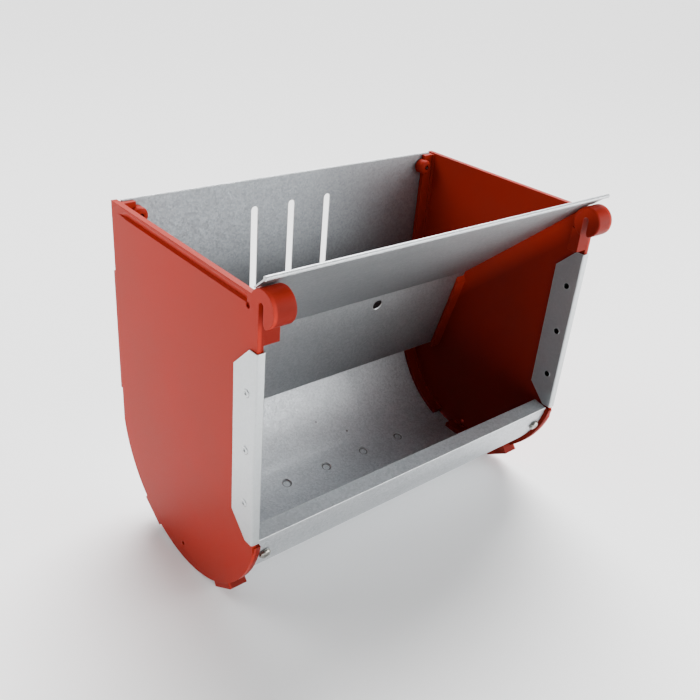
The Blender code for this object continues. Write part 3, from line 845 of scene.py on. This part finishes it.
@dataclass
class GuardRivets:
    """Six hollow rivets, domed outside and rolled open inside, that hold the edge guards."""

    steel: bpy.types.Material
    plate_face: float = 124.3
    depth: float = -62.0
    heights: tuple[float, ...] = (87.4, 120.2, 153.0)
    head_radius: float = 2.4
    shank_radius: float = 2.05
    bore_radius: float = 1.95
    bore_end: float = -0.3
    bead_middle: float = 2.25
    bead_radius: float = 0.25
    pit_radius: float = 0.8
    pit_depth: float = 0.5
    head_top: float = 1.4
    foot: float = -4.9

    def profile(self) -> list[tuple[float, float]]:
        """Rings of a rivet from the crown of its head, down its shank and back up its bore.

        Returns:
            Radius and height of each ring, with the plate's outer face at height zero.
        """
        radius, top, foot = self.head_radius, self.head_top, self.foot
        pit = top - self.pit_depth
        rings = [(0.2, pit), (self.pit_radius, pit), (self.pit_radius + 0.2, top), (radius * 0.8, top - 0.08)]
        rings += [(radius * 0.95, top - 0.22), (radius, top - 0.36), (radius * 0.97, top - 0.4)]
        rings += [(self.shank_radius, top - 0.4), (self.shank_radius, foot + 0.45)]
        middle, bead = self.bead_middle, self.bead_radius
        for step in range(9):
            angle = math.radians(115.0 - 230.0 * step / 8)
            rings.append((middle + bead * math.cos(angle), foot + 0.42 + bead * math.sin(angle) * 0.95))
        rings += [(self.bore_radius + 0.08, foot + 0.25), (self.bore_radius, foot + 0.6)]
        rings += [(self.bore_radius, self.bore_end), (0.2, self.bore_end - 0.1)]
        return rings

    def build(self) -> None:
        """Model one rivet, copy it to all six holes and let the copies stand for the CAD rivets."""
        master = turned_piece("guard_rivet_master", self.profile(), 36)
        make_active(master)
        bpy.ops.object.transform_apply(location=True, rotation=True, scale=True)
        bpy.ops.object.shade_smooth_by_angle(angle=math.radians(40))
        for end in End:
            for index, height in enumerate(self.heights):
                rivet = master.copy()
                rivet.data = master.data.copy()
                rivet.name = f"{end.word}_guard_rivet_{index}_detailed"
                bpy.context.scene.collection.objects.link(rivet)
                where = Vector((end.value * self.plate_face, self.depth, height)) * MM
                set_in_place(rivet, where, Vector((float(end.value), 0.0, 0.0)))
                dress(rivet, self.steel)
                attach(rivet, "hopper")
                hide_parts(f"{end.word}_guard_rivet_{index}")
            log.info("%s rivets: %s", end.word, self.steel.name)
        bpy.data.objects.remove(master, do_unlink=True)


@dataclass(frozen=True)
class SoftBox:
    """One square soft light: its place and side in metres and its power in watts."""

    name: str
    place: tuple[float, float, float]
    size: float
    energy: float


@dataclass
class Studio:
    """White paper floor, a dim room, one large soft light from above and behind and three soft boxes, in metres."""

    paper: bpy.types.Material
    floor_size: float = 24.0
    floor_drop: float = 0.0003
    aim: tuple[float, float, float] = (0.0, 0.0, 0.1)
    world_strength: float = 0.14
    ceiling_strength: float = 9.5
    ceiling_spread: float = 48.0
    ceiling_direction: tuple[float, float, float] = (0.62, 0.7, 1.0)
    right_box: SoftBox = SoftBox("right_box", (1.1, -1.0, 0.5), 1.0, 23.0)
    front_box: SoftBox = SoftBox("front_box", (0.3, -1.3, 0.5), 0.9, 10.0)
    left_box: SoftBox = SoftBox("left_box", (-0.8, 0.6, 1.0), 0.9, 10.0)

    def build(self) -> None:
        """Lay the floor and set the lights."""
        bpy.ops.object.select_all(action="DESELECT")
        bpy.ops.mesh.primitive_plane_add(size=self.floor_size, location=(0.0, 0.0, -self.floor_drop))
        floor = bpy.context.object
        floor.name = "studio_floor"
        dress(floor, self.paper)
        world = bpy.data.worlds.new("studio_world")
        world.use_nodes = True
        sky = world.node_tree.nodes["Background"]
        sky.inputs["Color"].default_value = (1.0, 1.0, 1.0, 1.0)
        sky.inputs["Strength"].default_value = self.world_strength
        bpy.context.scene.world = world
        self.add_ceiling()
        for box in (self.right_box, self.front_box, self.left_box):
            self.add_box(box)

    def add_ceiling(self) -> None:
        """Add the light of a large ceiling screen, as a sun with a wide spread so that the floor is lit evenly."""
        lamp = bpy.data.lights.new("ceiling_light", "SUN")
        lamp.energy, lamp.angle = self.ceiling_strength, math.radians(self.ceiling_spread)
        holder = bpy.data.objects.new("ceiling_light", lamp)
        holder.rotation_euler = (-Vector(self.ceiling_direction)).to_track_quat("-Z", "Y").to_euler()
        bpy.context.scene.collection.objects.link(holder)

    def add_box(self, box: SoftBox) -> None:
        """Add one square area light aimed at the middle of the feeder.

        Args:
            box: Its name, place, size and power.
        """
        lamp = bpy.data.lights.new(box.name, "AREA")
        lamp.size, lamp.energy = box.size, box.energy
        holder = bpy.data.objects.new(box.name, lamp)
        holder.location = box.place
        toward = Vector(self.aim) - Vector(box.place)
        holder.rotation_euler = toward.to_track_quat("-Z", "Y").to_euler()
        bpy.context.scene.collection.objects.link(holder)


@dataclass
class ProductCamera:
    """Camera fitted to the photograph: its place and axes in the feeder's own frame."""

    place: tuple[float, float, float] = (-0.31057, -0.33851, 0.36057)
    right: tuple[float, float, float] = (0.769691, -0.633559, 0.078603)
    up: tuple[float, float, float] = (0.251599, 0.414183, 0.874728)
    back: tuple[float, float, float] = (-0.586748, -0.653494, 0.478196)
    lens: float = 42.4296
    sensor: float = 36.0
    clip: tuple[float, float] = (0.01, 60.0)

    def build(self) -> None:
        """Add the camera and make it the scene's."""
        data = bpy.data.cameras.new("product_camera")
        data.lens, data.sensor_width = self.lens, self.sensor
        data.clip_start, data.clip_end = self.clip
        camera = bpy.data.objects.new("product_camera", data)
        turn = Matrix((self.right, self.up, self.back)).transposed().to_4x4()
        camera.matrix_world = Matrix.Translation(self.place) @ turn
        bpy.context.scene.collection.objects.link(camera)
        bpy.context.scene.camera = camera


def main() -> None:
    """Load the frame, dress it, build the fasteners, the studio and the camera."""
    logging.basicConfig(level=logging.INFO, format="%(name)s %(message)s")
    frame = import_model()
    guard_look = {"spangle": Spangle.FAINT, "bright": "#BFC3C4", "dark": "#A9ADAF", "roughness": 0.40}
    # painted light on the floor, painted shade in the dimples, and feed crumbs
    trough_marks = (PaintedLightFloor(), PaintedShadeDimples(), FeedCrumbs())
    EndPlates(frame, MouldedPolypropylene().make()).dress()
    SheetMetal(
        frame,
        trough_zinc=GalvanisedSteel("galvanised_steel_trough", roughness=0.55, marks=trough_marks).make(),
        baffle_zinc=GalvanisedSteel("galvanised_steel_baffle", bright="#CACDCF", dark="#A3A7AA", roughness=0.44,
                                    marks=(PaintedShadeTop(),)).make(),
        guard_zinc=GalvanisedSteel("galvanised_steel_guard", **guard_look).make(),
    ).dress()
    PanHeadScrews(ZincPlatedSteel().make()).build()
    # rivet bores darkened with painted shade
    GuardRivets(GalvanisedSteel("galvanised_steel_rivet", edge_mm=0.12, marks=(PaintedShadeBore(),),
                                **guard_look).make()).build()
    Studio(StudioPaper().make()).build()
    ProductCamera().build()


if __name__ == "__main__":
    main()
